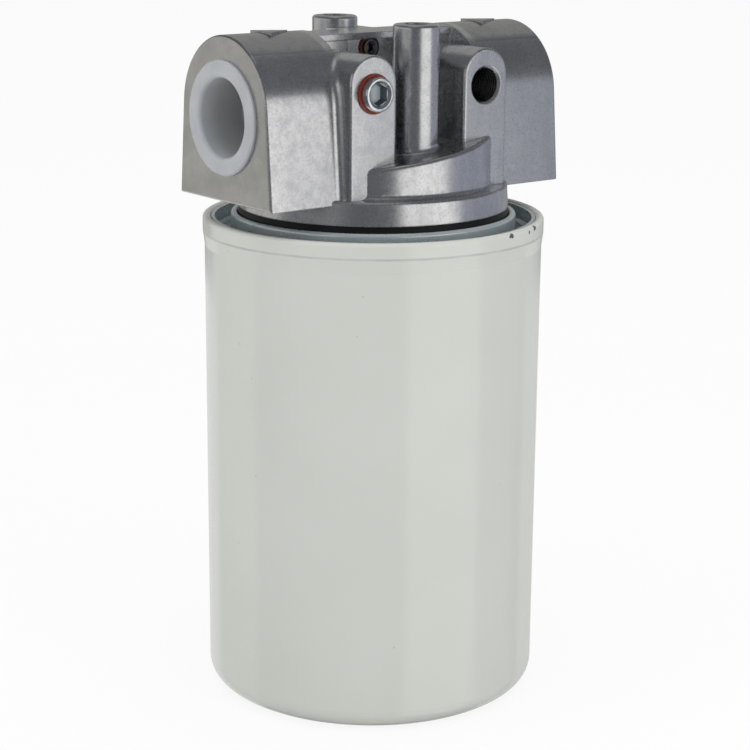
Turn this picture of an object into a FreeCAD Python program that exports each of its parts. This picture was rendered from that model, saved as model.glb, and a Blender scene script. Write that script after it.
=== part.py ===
import FreeCAD, Part
import Sketcher
import math
import os
import re

# Driving dimensions, in millimetres and degrees.
# Heights are measured from the canister's bottom.

# Canister shell and its rolled rim
can_dia = 96.5
can_height = 139.4
can_wall = 0.8
can_corner = 6.0
inner_corner = 3.4
stand_width = 4.25
dish_run = 3.0
dish_rise = 1.5
rim_flare = 0.5
rim_band = 4.4
rim_width = 2.4
rim_run_out = 4.0
rim_roll = 1.08

# Seam lid, gasket and threaded base plate
lid_sheet = 1.0
lid_drop = 0.5
channel_depth = 5.0
channel_width = 4.6
channel_corner = 0.8
ring_rise = 1.0
gasket_width = 7.0
gasket_depth = 6.0
gasket_proud = 1.6
gasket_edge = 0.5
lip_rise = 2.5
lid_ledge = 2.0
plate_depth = 4.0
collar_wall = 4.25
collar_depth = 8.0
collar_chamfer = 1.4
inlet_hole_dia = 8.5
inlet_hole_count = 8

# Filter element
element_gap = 4.0
cap_sheet = 0.8
cap_skirt = 6.0
neck_gap = 3.4
neck_height = 5.6
grommet_lip = 1.2
core_wall = 0.6
core_slot_width = 4.0
core_slot_height = 12.0
core_slot_rows = 5
core_slot_columns = 8
pleat_count = 48
pleat_sheet = 0.5
element_drop = 10.0
element_lift = 14.0
spring_mean_dia = 44.0
spring_wire = 2.2
spring_turns = 3.0
spring_seat_sheet = 0.8

# Spigot that carries the canister
spigot_dia = 25.4
spigot_wall = 3.2
spigot_short = 1.5
spigot_chamfer = 0.85
thread_clearance = 0.05

# Head casting
flange_inset = 0.1
flange_depth = 6.5
flange_draft = 0.4
hub_step = 5.0
roof_height = 17.6
roof_slope = 8.1
head_length = 102.0
port_height = 28.0
block_base = 5.2
block_half_base = 22.0
barrel_dia = 40.0
barrel_centre = 30.0
pocket_width = 24.0
pad_width = 15.4
pad_proud = 3.3
pad_top = 45.0
web_top = 49.0
web_sheet = 1.8
web_front = 5.0
web_back = 8.0
pocket_depth = 5.0
divider_sheet = 6.0
post_dia = 13.0
post_spacing = 37.2
post_top = 52.0
post_hole_dia = 6.8
post_hole_depth = 16.0
post_edge = 0.9
root_depth = 4.0
barrel_lap = 3.4
shoulder_step = 0.8
shoulder_inset = 0.6
barrel_root = 2.2
port_edge = 0.8
ridge_edge = 0.7
roof_edge = 1.2
post_root = 1.6
hub_root = 1.5
flange_edge = 0.5

# Ports and passages of the head
port_thread_dia = 24.2
port_thread_depth = 18.0
passage_dia = 20.0
passage_gap = 0.9
annulus_wall = 3.0
annulus_height = 11.0
boss_wall = 4.25
boss_drop = 5.0
duct_wall = 3.2
duct_half_width = 9.0
duct_floor = 6.5
duct_roof = 14.5
drop_inset = 1.0
gauge_dia = 9.4
gauge_height = 34.8
gauge_depth = 20.3
gauge_mouth = 0.7
arrow_rise = 0.4
arrow_length = 8.8
arrow_half_width = 4.8
arrow_spread = 37.2
arrow_shift = 2.8

# Plugs and their seals
plug_proud = 2.9
plug_length = 11.0
plug_hex = 5.0
plug_hex_depth = 4.5
plug_edge = 0.6
seal_sheet = 0.5
tap_dia = 5.0
tap_depth = 5.0
tap_length = 5.2
tap_x = 1.8
tap_gap = 0.1
tap_proud = 1.2
tap_hex = 2.5
tap_edge = 0.3
tap_seal_width = 0.9
cover_lip = 3.5
cover_lip_sheet = 1.1
cover_lip_edge = 0.44
cover_round = 1.4
cover_wall = 1.3
cover_depth = 14.0
cover_clearance = 0.1
cover_taper = 0.8

# Bypass valve
valve_dia = 13.0
valve_offset = 22.0
valve_wall = 1.1
valve_seat_dia = 8.0
valve_seat_sheet = 2.2
valve_length = 14.0
valve_window_lift = 0.5
valve_window_height = 4.6
valve_window_width = 4.5
poppet_clearance = 0.5
poppet_sheet = 1.4
poppet_stem_dia = 3.0
poppet_stem_spare = 1.2
stem_clearance = 0.06
retainer_sheet = 1.2
retainer_hole_dia = 2.2
retainer_hole_count = 6
bypass_spring_dia = 6.6
bypass_spring_wire = 0.7
bypass_spring_turns = 4.5

# Flats round the section of a spring's wire
wire_sides = 8

# Clearance of a seated piece, and how far a cut or a rib runs past its neighbour
seat_gap = 0.05
overrun = 1.0

# The sheet holds one named cell for each driving dimension above
SIZES = {name: value for name, value in dict(globals()).items() if isinstance(value, (int, float))}
FORMULAS = {}
DOC = FreeCAD.newDocument("SuctionFilter")
SHEET = DOC.addObject("Spreadsheet::Sheet", "Dims")
for row, (name, value) in enumerate(SIZES.items(), 1):
    SHEET.set("A%d" % row, name.replace("_", " "))
    SHEET.set("B%d" % row, str(value))
    SHEET.setAlias("B%d" % row, name)

# Edges are picked by their size and place, to within this many millimetres
NEAR = 0.01


def expand(text):
    """A formula in plain names becomes an expression on the sheet's cells."""
    def word(match):
        name = match.group(0)
        if name in FORMULAS:
            return FORMULAS[name]
        return "Dims." + name if name in SIZES else name
    return re.sub(r"[a-z][a-z0-9_]*", word, str(text))


def derive(name, text):
    """A size or height that follows from the driving dimensions."""
    FORMULAS[name] = "(" + expand(text) + ")"


def number(text):
    return float(SHEET.evalExpression(expand(text)))


# Radii of the canister and its lid, from the outside inward
derive("can_out", "can_dia / 2")
derive("can_in", "can_out - can_wall")
derive("dish_out", "can_out - can_corner - stand_width")
derive("dish_in", "dish_out - dish_run")
derive("rim_out", "can_out + rim_flare")
derive("rim_in", "rim_out - rim_width")
derive("lid_out", "rim_in - seat_gap")
derive("channel_out", "lid_out - lid_sheet")
derive("ring_out", "channel_out - channel_width")
derive("ring_in", "ring_out - 2 * lid_sheet - seat_gap")
derive("gasket_out", "ring_in - seat_gap")
derive("gasket_in", "gasket_out - gasket_width")
derive("lip_out", "gasket_in - seat_gap")
derive("lid_in", "lip_out - lid_sheet - lid_ledge")
derive("plate_out", "ring_out - lid_sheet - seat_gap")
derive("thread_in", "spigot_dia / 2 + thread_clearance")
derive("collar_out", "thread_in + collar_wall")
derive("inlet_circle", "(collar_out + lid_in) / 2")

# Heights of the canister and its lid; the face is where the head meets the gasket
derive("rim_foot", "can_height - rim_band")
derive("dish_floor", "dish_rise + can_wall")
derive("ring_top", "can_height + ring_rise")
derive("face", "ring_top + gasket_proud")
derive("groove_floor", "face - gasket_depth")
derive("channel_floor", "can_height - channel_depth")
derive("plate_top", "groove_floor - lid_sheet")
derive("plate_foot", "plate_top - plate_depth")
derive("collar_foot", "plate_foot - collar_depth")
derive("spigot_foot", "collar_foot + spigot_short")

# Filter element
derive("element_out", "can_in - element_gap")
derive("neck_in", "collar_out + neck_gap")
derive("neck_out", "neck_in + cap_sheet")
derive("core_out", "neck_in + core_wall")
derive("cap_top", "plate_foot - element_drop")
derive("media_top", "cap_top - cap_sheet")
derive("neck_top", "cap_top + neck_height")
derive("seat_plate", "dish_floor + spring_seat_sheet")
derive("seat_out", "spring_mean_dia / 2 + 2 * spring_wire")
derive("element_foot", "dish_floor + element_lift")
derive("media_foot", "element_foot + cap_sheet")

# Head casting
derive("flange_out", "gasket_out - flange_inset")
derive("flange_top", "face + flange_depth")
derive("hub_out", "flange_out - hub_step")
derive("roof_mid", "face + roof_height")
derive("roof_reach", "2 * hub_out")
derive("roof_fall", "roof_reach * tan(roof_slope)")
derive("root_z", "roof_mid - root_depth")
derive("block_end", "head_length / 2")
derive("port_axis", "face + port_height")
derive("barrel_top", "face + barrel_centre + barrel_dia / 2")
derive("pocket_half", "pocket_width / 2")
derive("barrel_end", "pocket_half + pad_width - barrel_lap")
derive("shoulder_end", "pocket_half + shoulder_step")
derive("pad_half", "pad_width / 2")
derive("pad_x", "pocket_half + pad_half")
derive("pad_reach", "block_half_base + pad_proud")
derive("web_z", "face + web_top")
derive("web_foot", "web_z - web_sheet")
derive("divider_back", "pocket_depth + divider_sheet")
derive("post_z", "face + post_top")
derive("post_y", "post_spacing / 2")
derive("gauge_z", "face + gauge_height")
derive("annulus_out", "hub_out - annulus_wall")
derive("boss_out", "thread_in + boss_wall")
derive("boss_foot", "face - boss_drop")
derive("drop_end", "annulus_out - drop_inset")
derive("duct_end", "valve_offset + valve_dia / 2")
derive("duct_out", "duct_half_width + duct_wall")
derive("passage_end", "valve_offset - valve_dia / 2 - passage_gap")
derive("tap_z", "web_foot - tap_dia / 2 - tap_seal_width - tap_gap")

# Port covers and bypass valve
derive("cover_mouth", "port_thread_dia / 2 - cover_clearance")
derive("cover_end", "cover_mouth - cover_taper")
derive("cover_out", "cover_mouth + cover_lip")
derive("valve_seat_z", "face + valve_seat_sheet")
derive("valve_top", "face + valve_length")
derive("valve_out", "valve_dia / 2 - seat_gap")
derive("valve_in", "valve_dia / 2 - valve_wall")
derive("poppet_out", "valve_in - poppet_clearance")
derive("poppet_top", "valve_length + poppet_stem_spare - valve_seat_sheet")
derive("stem_hole", "poppet_stem_dia / 2 + stem_clearance")
derive("retainer_out", "valve_in - seat_gap")
derive("retainer_foot", "valve_top - retainer_sheet")


# Sketches and features
def feature(body, kind, label):
    return body.newObject("PartDesign::" + kind, label)


def new_body(label):
    body = DOC.addObject("PartDesign::Body", label)
    body.Label = label
    return body


def origin_plane(body, role):
    return [item for item in body.Origin.OriginFeatures if item.Role == role][0]


def new_sketch(body, label, role, offset="0"):
    sketch = body.newObject("Sketcher::SketchObject", label)
    sketch.AttachmentSupport = [(origin_plane(body, role), "")]
    sketch.MapMode = "FlatFace"
    sketch.setExpression(".AttachmentOffset.Base.z", expand(offset))
    return sketch


def bind(sketch, kind, ends, text):
    """A sketch constraint whose value is a formula."""
    index = sketch.addConstraint(Sketcher.Constraint(kind, *ends, number(text)))
    sketch.setExpression("Constraints[%d]" % index, expand(text))


def fix_point(sketch, geometry, end, across, up):
    bind(sketch, "DistanceX", (-1, 1, geometry, end), across)
    bind(sketch, "DistanceY", (-1, 1, geometry, end), up)


def outline(body, label, role, points, offset="0"):
    """Closed outline through the given points."""
    sketch = new_sketch(body, label, role, offset)
    corners = [FreeCAD.Vector(number(a), number(b), 0) for a, b in points]
    count = len(corners)
    for i in range(count):
        sketch.addGeometry(Part.LineSegment(corners[i], corners[(i + 1) % count]))
    for i in range(count):
        sketch.addConstraint(Sketcher.Constraint("Coincident", i, 2, (i + 1) % count, 1))
    for i, (across, up) in enumerate(points):
        fix_point(sketch, i, 1, across, up)
    return sketch


def circles(body, label, role, items, offset="0"):
    """Circles, each as centre across, centre up and diameter."""
    sketch = new_sketch(body, label, role, offset)
    for i, (across, up, dia) in enumerate(items):
        centre = FreeCAD.Vector(number(across), number(up), 0)
        sketch.addGeometry(Part.Circle(centre, FreeCAD.Vector(0, 0, 1), number(dia) / 2))
        fix_point(sketch, i, 3, across, up)
        bind(sketch, "Diameter", (i,), dia)
    return sketch


def arch(body, label, role, middle, half_base, foot, radius, centre, offset="0"):
    """Arch with a flat foot: sides run from the foot to a round top that they touch smoothly."""
    sketch = new_sketch(body, label, role, offset)
    x, b, z = number(middle), number(half_base), number(foot)
    r, c = number(radius), number(centre)
    left_foot = FreeCAD.Vector(x - b, z, 0)
    right_foot = FreeCAD.Vector(x + b, z, 0)
    round_top = Part.Circle(FreeCAD.Vector(x, c, 0), FreeCAD.Vector(0, 0, 1), r)
    sketch.addGeometry(Part.LineSegment(left_foot, right_foot))
    sketch.addGeometry(Part.LineSegment(right_foot, FreeCAD.Vector(x + r, c, 0)))
    sketch.addGeometry(Part.ArcOfCircle(round_top, 0, math.pi))
    sketch.addGeometry(Part.LineSegment(FreeCAD.Vector(x - r, c, 0), left_foot))
    sketch.addConstraint(Sketcher.Constraint("Coincident", 0, 2, 1, 1))
    sketch.addConstraint(Sketcher.Constraint("Coincident", 3, 2, 0, 1))
    sketch.addConstraint(Sketcher.Constraint("Tangent", 1, 2, 2, 1))
    sketch.addConstraint(Sketcher.Constraint("Tangent", 2, 2, 3, 1))
    fix_point(sketch, 0, 1, "(%s) - (%s)" % (middle, half_base), foot)
    fix_point(sketch, 0, 2, "(%s) + (%s)" % (middle, half_base), foot)
    fix_point(sketch, 2, 3, middle, centre)
    bind(sketch, "Radius", (2,), radius)
    return sketch


def hexagon(body, label, role, across_flats, offset="0"):
    """Hexagon centred on the axis, one flat at each side."""
    half = "(%s) / 2" % across_flats
    corner = "(%s) / sqrt(3)" % across_flats
    rise = "(%s) / sqrt(12)" % across_flats
    points = [
        (half, rise), ("0", corner), ("-" + half, rise),
        ("-" + half, "-" + rise), ("0", "-" + corner), (half, "-" + rise),
    ]
    return outline(body, label, role, points, offset)


def extrude(body, kind, label, profile, length, backward=False, both=False):
    """Pad or Pocket of a sketch."""
    item = feature(body, kind, label)
    item.Profile = profile
    item.setExpression("Length", expand(length))
    item.Reversed = backward
    if both:
        item.SideType = "Symmetric"
    profile.Visibility = False
    DOC.recompute()
    return item


def turn(body, label, points, kind="Revolution"):
    """Solid of revolution about the upright axis, from radius and height pairs."""
    profile = outline(body, label + "_profile", "XZ_Plane", points)
    item = feature(body, kind, label)
    item.Profile = profile
    item.ReferenceAxis = (profile, ["V_Axis"])
    item.Angle = 360
    profile.Visibility = False
    DOC.recompute()
    return item


def around(body, label, original, count, angle="360"):
    """Copies of a feature about the upright axis."""
    pattern = feature(body, "PolarPattern", label)
    pattern.Originals = [original]
    pattern.Axis = (origin_plane(body, "Z_Axis"), [""])
    pattern.setExpression("Angle", expand(angle))
    pattern.setExpression("Occurrences", expand(count))
    body.Tip = pattern
    DOC.recompute()
    return pattern


def rings(shape, radius, height):
    """Names of the circular edges with this radius at this height."""
    names = []
    for i, edge in enumerate(shape.Edges):
        curve = edge.Curve
        if curve.TypeId != "Part::GeomCircle":
            continue
        if abs(curve.Radius - number(radius)) < NEAR and abs(curve.Center.z - number(height)) < NEAR:
            names.append("Edge%d" % (i + 1))
    return names


def ellipses(shape, middle, width):
    """Names of the elliptical edges centred on this front-to-back place, this wide from left to right."""
    names = []
    for i, edge in enumerate(shape.Edges):
        if edge.Curve.TypeId != "Part::GeomEllipse":
            continue
        box = edge.BoundBox
        if abs(edge.Curve.Center.y - number(middle)) < NEAR and abs(box.XLength - number(width)) < NEAR:
            names.append("Edge%d" % (i + 1))
    return names


def edges_where(shape, test):
    return ["Edge%d" % (i + 1) for i, edge in enumerate(shape.Edges) if test(edge)]


def soften(body, kind, label, names, amount):
    """Fillet or Chamfer of named edges of the body's last feature."""
    item = feature(body, kind, label)
    item.Base = (body.Tip if body.Tip != item else item.BaseFeature, names)
    item.setExpression("Radius" if kind == "Fillet" else "Size", expand(amount))
    DOC.recompute()
    return item


def coil(label, mean_dia, wire, foot, height, turns):
    """Coil spring of many-sided wire, wound upward from its foot."""
    body = new_body(label)
    start = "(%s) + (%s) / 2" % (foot, wire)
    rise = "(%s) - (%s)" % (height, wire)
    corners = []
    for i in range(int(number("wire_sides"))):
        turn_angle = "%s * 360 / wire_sides" % (i + 0.5)
        across = "(%s) / 2 + (%s) / 2 * cos(%s)" % (mean_dia, wire, turn_angle)
        corners.append((across, "%s + (%s) / 2 * sin(%s)" % (start, wire, turn_angle)))
    profile = outline(body, label + "_wire", "XZ_Plane", corners)
    item = feature(body, "AdditiveHelix", label + "_coil")
    item.Profile = profile
    item.ReferenceAxis = (profile, ["V_Axis"])
    item.Mode = "height-turns-angle"
    item.setExpression("Height", expand(rise))
    item.setExpression("Turns", expand(turns))
    profile.Visibility = False
    DOC.recompute()
    return body


def place(body, across, back, up, axis=None, angle=0):
    """Moves a body built at the origin to its seat."""
    if axis:
        body.Placement = FreeCAD.Placement(FreeCAD.Vector(), FreeCAD.Rotation(axis, angle))
    for letter, text in zip("xyz", (across, back, up)):
        body.setExpression(".Placement.Base." + letter, expand(text))
    return body


# Canister shell: drawn steel can, dished bottom, rolled rim
def can_shell():
    body = new_body("can_shell")
    shell = turn(body, "shell", [
        ("0", "dish_rise"), ("dish_in", "dish_rise"), ("dish_out", "0"),
        ("can_out", "0"), ("can_out", "rim_foot - rim_run_out"), ("rim_out", "rim_foot"),
        ("rim_out", "can_height"), ("rim_in", "can_height"), ("rim_in", "rim_foot - can_wall"),
        ("can_in", "rim_foot - rim_run_out"), ("can_in", "can_wall"),
        ("dish_out", "can_wall"), ("dish_in", "dish_floor"), ("0", "dish_floor"),
    ])
    soften(body, "Fillet", "outer_corner", rings(shell.Shape, "can_out", "0"), "can_corner")
    soften(body, "Chamfer", "inner_corner", rings(body.Tip.Shape, "can_in", "can_wall"), "inner_corner")
    lips = rings(body.Tip.Shape, "rim_out", "can_height") + rings(body.Tip.Shape, "rim_in", "can_height")
    soften(body, "Fillet", "rim_round", lips, "rim_roll")
    return body


# Seam lid: pressed sheet with a channel, a folded ring and a gasket groove
def seam_lid():
    body = new_body("seam_lid")
    lid = turn(body, "lid", [
        ("lid_out", "can_height - lid_drop"), ("lid_out", "channel_floor - lid_sheet"),
        ("ring_out - lid_sheet", "channel_floor - lid_sheet"), ("ring_out - lid_sheet", "plate_top"),
        ("lid_in", "plate_top"), ("lid_in", "groove_floor"),
        ("lip_out - lid_sheet", "groove_floor"), ("lip_out - lid_sheet", "groove_floor + lip_rise"),
        ("lip_out", "groove_floor + lip_rise"), ("lip_out", "groove_floor"),
        ("ring_in", "groove_floor"), ("ring_in", "ring_top"), ("ring_out", "ring_top"),
        ("ring_out", "channel_floor"), ("channel_out", "channel_floor"),
        ("channel_out", "can_height - lid_drop"),
    ])
    folds = rings(lid.Shape, "ring_in", "ring_top") + rings(lid.Shape, "ring_out", "ring_top")
    soften(body, "Fillet", "ring_round", folds, "lid_sheet")
    corners = rings(body.Tip.Shape, "ring_out", "channel_floor")
    corners += rings(body.Tip.Shape, "channel_out", "channel_floor")
    soften(body, "Chamfer", "channel_corners", corners, "channel_corner")
    return body


# Gasket: square rubber ring with a rounded top, held in the lid's groove
def can_gasket():
    body = new_body("can_gasket")
    turn(body, "ring", [
        ("gasket_in", "groove_floor"), ("gasket_out", "groove_floor"),
        ("gasket_out", "face - gasket_proud"), ("gasket_out - gasket_edge", "face"),
        ("gasket_in + gasket_edge", "face"), ("gasket_in", "face - gasket_proud"),
    ])
    return body


# Base plate: thick steel plate with inlet holes and a threaded collar
def base_plate():
    body = new_body("base_plate")
    plate = turn(body, "plate", [
        ("thread_in", "plate_top"), ("thread_in", "collar_foot"), ("collar_out", "collar_foot"),
        ("collar_out", "plate_foot"), ("plate_out", "plate_foot"), ("plate_out", "plate_top"),
    ])
    soften(body, "Chamfer", "thread_mouth", rings(plate.Shape, "thread_in", "plate_top"), "collar_chamfer")
    hole = circles(body, "inlet_hole", "XY_Plane", [("inlet_circle", "0", "inlet_hole_dia")], "plate_top")
    cut = extrude(body, "Pocket", "inlet", hole, "plate_depth")
    around(body, "inlets", cut, "inlet_hole_count")
    return body


# Element caps: pressed trays that close the pleats
def element_top_cap():
    body = new_body("element_top_cap")
    turn(body, "cap", [
        ("neck_in", "media_top"), ("element_out - cap_sheet", "media_top"),
        ("element_out - cap_sheet", "cap_top - cap_skirt"), ("element_out", "cap_top - cap_skirt"),
        ("element_out", "cap_top"), ("neck_out", "cap_top"), ("neck_out", "neck_top"), ("neck_in", "neck_top"),
    ])
    return body


def element_bottom_cap():
    body = new_body("element_bottom_cap")
    plug = "core_out - core_wall - seat_gap"
    plug_top = "media_foot + 2 * cap_sheet"
    turn(body, "cap", [
        ("0", "element_foot"), ("element_out", "element_foot"),
        ("element_out", "element_foot + cap_skirt"), ("element_out - cap_sheet", "element_foot + cap_skirt"),
        ("element_out - cap_sheet", "media_foot"), (plug, "media_foot"), (plug, plug_top), ("0", plug_top),
    ])
    return body


# Grommet: rubber ring between the base plate's collar and the element's neck
def element_grommet():
    body = new_body("element_grommet")
    bore = "collar_out + seat_gap"
    brim = "neck_out + cap_sheet"
    turn(body, "ring", [
        (bore, "media_top"), ("neck_in - seat_gap", "media_top"), ("neck_in - seat_gap", "neck_top + seat_gap"),
        (brim, "neck_top + seat_gap"), (brim, "neck_top + grommet_lip"), (bore, "neck_top + grommet_lip"),
    ])
    return body


# Core tube: steel tube with rows of slots, inside the pleats
def core_tube():
    body = new_body("core_tube")
    turn(body, "tube", [
        ("core_out - core_wall", "media_foot + seat_gap"), ("core_out", "media_foot + seat_gap"),
        ("core_out", "media_top - seat_gap"), ("core_out - core_wall", "media_top - seat_gap"),
    ])
    half = "core_slot_width / 2"
    for row in range(int(number("core_slot_rows"))):
        middle = "media_foot + (media_top - media_foot) * %s / core_slot_rows" % (row + 0.5)
        foot = middle + " - core_slot_height / 2"
        top = middle + " + core_slot_height / 2"
        slot = outline(body, "slot_%d" % row, "XZ_Plane", [
            ("-" + half, foot), (half, foot), (half, top), ("-" + half, top),
        ])
        cut = extrude(body, "Pocket", "slot_cut_%d" % row, slot, "2 * (core_out + overrun)", both=True)
        around(body, "slot_ring_%d" % row, cut, "core_slot_columns / 2", "180 - 360 / core_slot_columns")
    return body


# Pleated paper: one folded sheet, a closed star of pleats
def pleated_media():
    count = int(number("pleat_count"))
    outer = number("element_out - cap_sheet - seat_gap")
    inner = number("core_out + seat_gap")
    foot = number("media_foot + seat_gap")
    top = number("media_top - seat_gap")
    step = math.pi / count

    def star(tip, root):
        corners = []
        for i in range(2 * count):
            radius = tip if i % 2 == 0 else root
            corners.append(FreeCAD.Vector(radius * math.cos(i * step), radius * math.sin(i * step), foot))
        return Part.Face(Part.makePolygon(corners + corners[:1]))

    # How far the paper reaches along a radius where it slants across it
    slant = math.atan2(inner * math.sin(step), outer - inner)
    fold = number("pleat_sheet") / math.sin(slant)
    outside = star(outer, inner + fold)
    inside = star(outer - fold, inner)
    media = DOC.addObject("Part::Feature", "pleated_media")
    media.Label = "pleated_media"
    media.Shape = outside.cut(inside).extrude(FreeCAD.Vector(0, 0, top - foot))
    return media


# Seat of the element's spring, on the canister's dished floor
def spring_seat():
    body = new_body("spring_seat")
    edge_top = "seat_plate + spring_wire"
    turn(body, "seat", [
        ("0", "dish_floor"), ("seat_out", "dish_floor"), ("seat_out", edge_top),
        ("seat_out - spring_seat_sheet", edge_top), ("seat_out - spring_seat_sheet", "seat_plate"),
        ("0", "seat_plate"),
    ])
    return body


# Head: one die casting with two port barrels, gauge ridges, posts, hub and flange
def head_casting():
    body = new_body("head_casting")
    hub_and_flange(body)
    barrels(body)
    ridges(body)
    web_and_divider(body)
    posts(body)
    cast_edges(body)
    chambers(body)
    tapped_holes(body)
    flow_arrows(body)
    return body


def hub_and_flange(body):
    rim = "flange_out - flange_draft"
    turn(body, "hub", [
        ("0", "face"), ("flange_out", "face"), (rim, "flange_top - flange_edge"),
        (rim + " - flange_edge", "flange_top"), ("hub_out", "flange_top"),
        ("hub_out", "roof_mid + roof_fall"), ("0", "roof_mid + roof_fall"),
    ])
    roof = outline(body, "roof_line", "XZ_Plane", [
        ("-roof_reach", "roof_mid - roof_fall"), ("roof_reach", "roof_mid + roof_fall"),
        ("roof_reach", "roof_mid + 2 * roof_fall"), ("-roof_reach", "roof_mid + 2 * roof_fall"),
    ])
    extrude(body, "Pocket", "sloped_roof", roof, "2 * roof_reach", both=True)


def barrels(body):
    for side, start in (("inlet", "-block_end"), ("outlet", "block_end")):
        profile = arch(body, side + "_barrel_profile", "YZ_Plane", "0", "block_half_base", "face + block_base",
                       "barrel_dia / 2", "face + barrel_centre", start)
        extrude(body, "Pad", side + "_barrel", profile, "block_end - barrel_end", backward=(side == "outlet"))


def ridges(body):
    for side, middle in (("inlet", "-pad_x"), ("outlet", "pad_x")):
        profile = arch(body, side + "_ridge_profile", "XZ_Plane", middle, "pad_half", "flange_top",
                       "pad_half", "face + pad_top - pad_half")
        extrude(body, "Pad", side + "_ridge", profile, "2 * pad_reach", both=True)


def web_and_divider(body):
    """Thin web between the barrels with a tongue to the rear post.

    Under it stand a wall behind the pocket and a shoulder on each ridge.
    """
    tongue = "post_dia / 2 - post_edge"
    web = outline(body, "web_profile", "XY_Plane", [
        ("-barrel_end", "-web_front"), ("barrel_end", "-web_front"), ("barrel_end", "web_back"),
        (tongue, "web_back"), (tongue, "post_y"), ("-(%s)" % tongue, "post_y"),
        ("-(%s)" % tongue, "web_back"), ("-barrel_end", "web_back"),
    ], "web_foot")
    extrude(body, "Pad", "web", web, "web_sheet")
    front = "shoulder_inset - web_front"
    divider = outline(body, "divider_profile", "XY_Plane", [
        ("-barrel_end", front), ("-shoulder_end", front), ("-shoulder_end", "pocket_depth"),
        ("shoulder_end", "pocket_depth"), ("shoulder_end", front), ("barrel_end", front),
        ("barrel_end", "divider_back"), ("-barrel_end", "divider_back"),
    ], "root_z")
    extrude(body, "Pad", "divider", divider, "web_foot + web_sheet / 2 - root_z")


def posts(body):
    pair = circles(body, "post_circles", "XY_Plane", [
        ("0", "-post_y", "post_dia"), ("0", "post_y", "post_dia"),
    ], "root_z")
    extrude(body, "Pad", "post_pair", pair, "post_z - root_z")
    soften(body, "Fillet", "post_tops", rings(body.Tip.Shape, "post_dia / 2", "post_z"), "post_edge")
    holes = circles(body, "post_hole_circles", "XY_Plane", [
        ("0", "-post_y", "post_hole_dia"), ("0", "post_y", "post_hole_dia"),
    ], "post_z")
    extrude(body, "Pocket", "post_holes", holes, "post_hole_depth")


def cast_edges(body):
    """Rounded roots and edges of the casting."""
    ridge_side = number("pocket_half + pad_width")
    span, reach = number("block_end"), number("pad_reach")
    roof_peak = number("roof_mid + hub_out * tan(roof_slope)")

    def level(low, high, place):
        return high - low < NEAR and abs(abs(low) - place) < NEAR

    def barrel_root(edge):
        box = edge.BoundBox
        beside = level(box.XMin, box.XMax, ridge_side) and max(-box.YMin, box.YMax) < number("block_half_base")
        return beside or edge.Curve.TypeId == "Part::GeomBSplineCurve"

    def ridge_front(edge):
        box = edge.BoundBox
        return level(box.YMin, box.YMax, reach) and box.ZMax > roof_peak

    def roof_rim(edge):
        box = edge.BoundBox
        return edge.Curve.TypeId == "Part::GeomEllipse" and box.XLength > number("post_dia + post_root")

    def port_face(edge):
        box = edge.BoundBox
        return level(box.XMin, box.XMax, span)

    for label, test in (
        ("barrel_root", barrel_root), ("ridge_edge", ridge_front), ("roof_edge", roof_rim), ("port_edge", port_face),
    ):
        soften(body, "Fillet", label, edges_where(body.Tip.Shape, test), label)
    feet = ellipses(body.Tip.Shape, "-post_y", "post_dia") + ellipses(body.Tip.Shape, "post_y", "post_dia")
    soften(body, "Fillet", "post_roots", feet, "post_root")
    soften(body, "Fillet", "hub_roots", rings(body.Tip.Shape, "hub_out", "flange_top"), "hub_root")


def chambers(body):
    """Inlet barrel opens down into the ring-shaped chamber, outlet barrel into the central bore."""
    ring = circles(body, "annulus_circles", "XY_Plane", [
        ("0", "0", "2 * annulus_out"), ("0", "0", "2 * boss_out"),
    ], "face")
    extrude(body, "Pocket", "annulus", ring, "annulus_height", backward=True)
    boss = circles(body, "boss_circle", "XY_Plane", [("0", "0", "2 * boss_out")], "boss_foot")
    extrude(body, "Pad", "boss", boss, "boss_drop + overrun")
    block = outline(body, "duct_block_profile", "XY_Plane", [
        ("0", "-duct_out"), ("duct_end + duct_wall", "-duct_out"), ("duct_end + duct_wall", "duct_out"),
        ("0", "duct_out"),
    ], "face")
    extrude(body, "Pad", "duct_block", block, "annulus_height + overrun")
    for side, start in (("inlet", "-block_end"), ("outlet", "block_end")):
        into = side == "inlet"
        thread = circles(body, side + "_port_circle", "YZ_Plane", [("0", "port_axis", "port_thread_dia")], start)
        extrude(body, "Pocket", side + "_port", thread, "port_thread_depth", backward=into)
        bore = circles(body, side + "_passage_circle", "YZ_Plane", [("0", "port_axis", "passage_dia")], start)
        extrude(body, "Pocket", side + "_passage", bore, "block_end - passage_end", backward=into)
    drop = outline(body, "inlet_drop_profile", "XY_Plane", [
        ("-drop_end", "-duct_half_width"), ("-passage_end", "-duct_half_width"),
        ("-passage_end", "duct_half_width"), ("-drop_end", "duct_half_width"),
    ], "port_axis")
    extrude(body, "Pocket", "inlet_drop", drop, "port_height - overrun")
    rise = outline(body, "outlet_rise_profile", "XY_Plane", [
        ("passage_end", "-duct_half_width"), ("duct_end", "-duct_half_width"),
        ("duct_end", "duct_half_width"), ("passage_end", "duct_half_width"),
    ], "port_axis")
    extrude(body, "Pocket", "outlet_rise", rise, "port_height - duct_floor")
    duct = outline(body, "duct_profile", "XY_Plane", [
        ("0", "-duct_half_width"), ("duct_end", "-duct_half_width"),
        ("duct_end", "duct_half_width"), ("0", "duct_half_width"),
    ], "face + duct_roof")
    extrude(body, "Pocket", "duct", duct, "duct_roof - duct_floor")
    spigot = circles(body, "spigot_circle", "XY_Plane", [("0", "0", "2 * thread_in")], "boss_foot")
    extrude(body, "Pocket", "spigot_hole", spigot, "boss_drop + duct_roof", backward=True)
    valve = circles(body, "valve_circle", "XY_Plane", [("valve_offset", "0", "valve_dia")], "face")
    extrude(body, "Pocket", "valve_hole", valve, "duct_floor + overrun", backward=True)


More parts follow.
